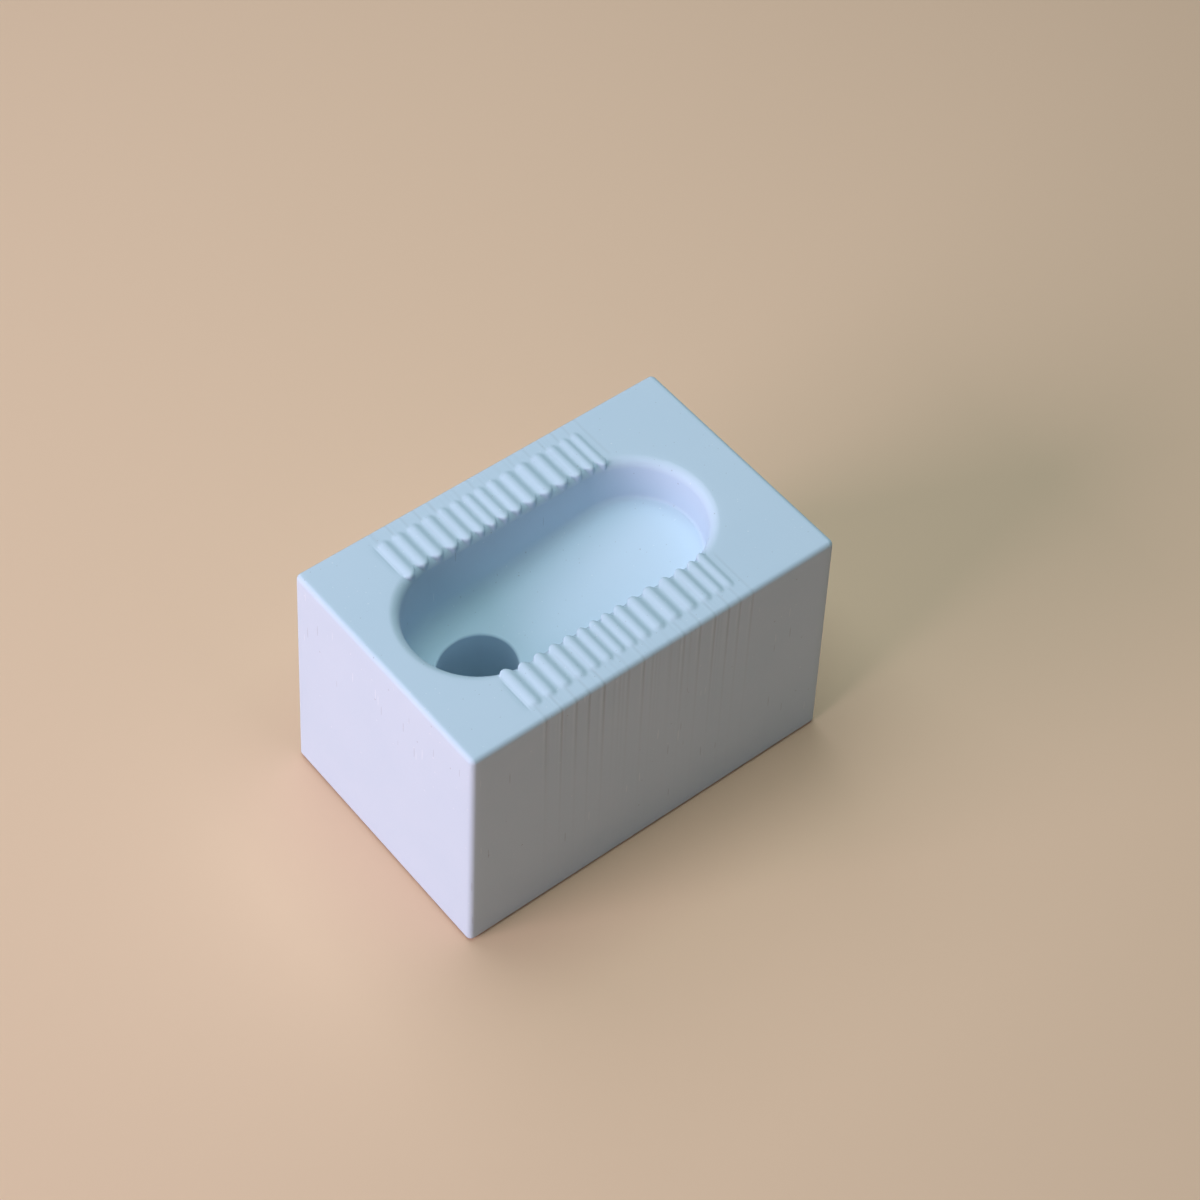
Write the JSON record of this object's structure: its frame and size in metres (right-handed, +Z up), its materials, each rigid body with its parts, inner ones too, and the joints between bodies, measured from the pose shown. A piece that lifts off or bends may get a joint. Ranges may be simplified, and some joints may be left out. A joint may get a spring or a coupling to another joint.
{
  "type": "pen holder",
  "caption": "Block-shaped desk pen holder with an oval basin, ribbed treads along both long sides and a round pen socket, standing on thin non-slip pads.",
  "frame": {"origin": "on the desk surface, under the middle of the block", "axes": "+X along the block from the socket end to the shallow end of the basin, +Y across it, +Z up"},
  "size_m": [0.061, 0.0392, 0.0394],
  "materials": {
    "body_plastic": "matt, pale ice blue, with fine print lines",
    "pad_silicone": "matt dark grey silicone"
  },
  "bodies": {
    "root": {"holder_block": "body_plastic", "foot_pad_front_left": "pad_silicone", "foot_pad_front_right": "pad_silicone", "foot_pad_rear_left": "pad_silicone", "foot_pad_rear_right": "pad_silicone"}
  },
  "joints": []
}
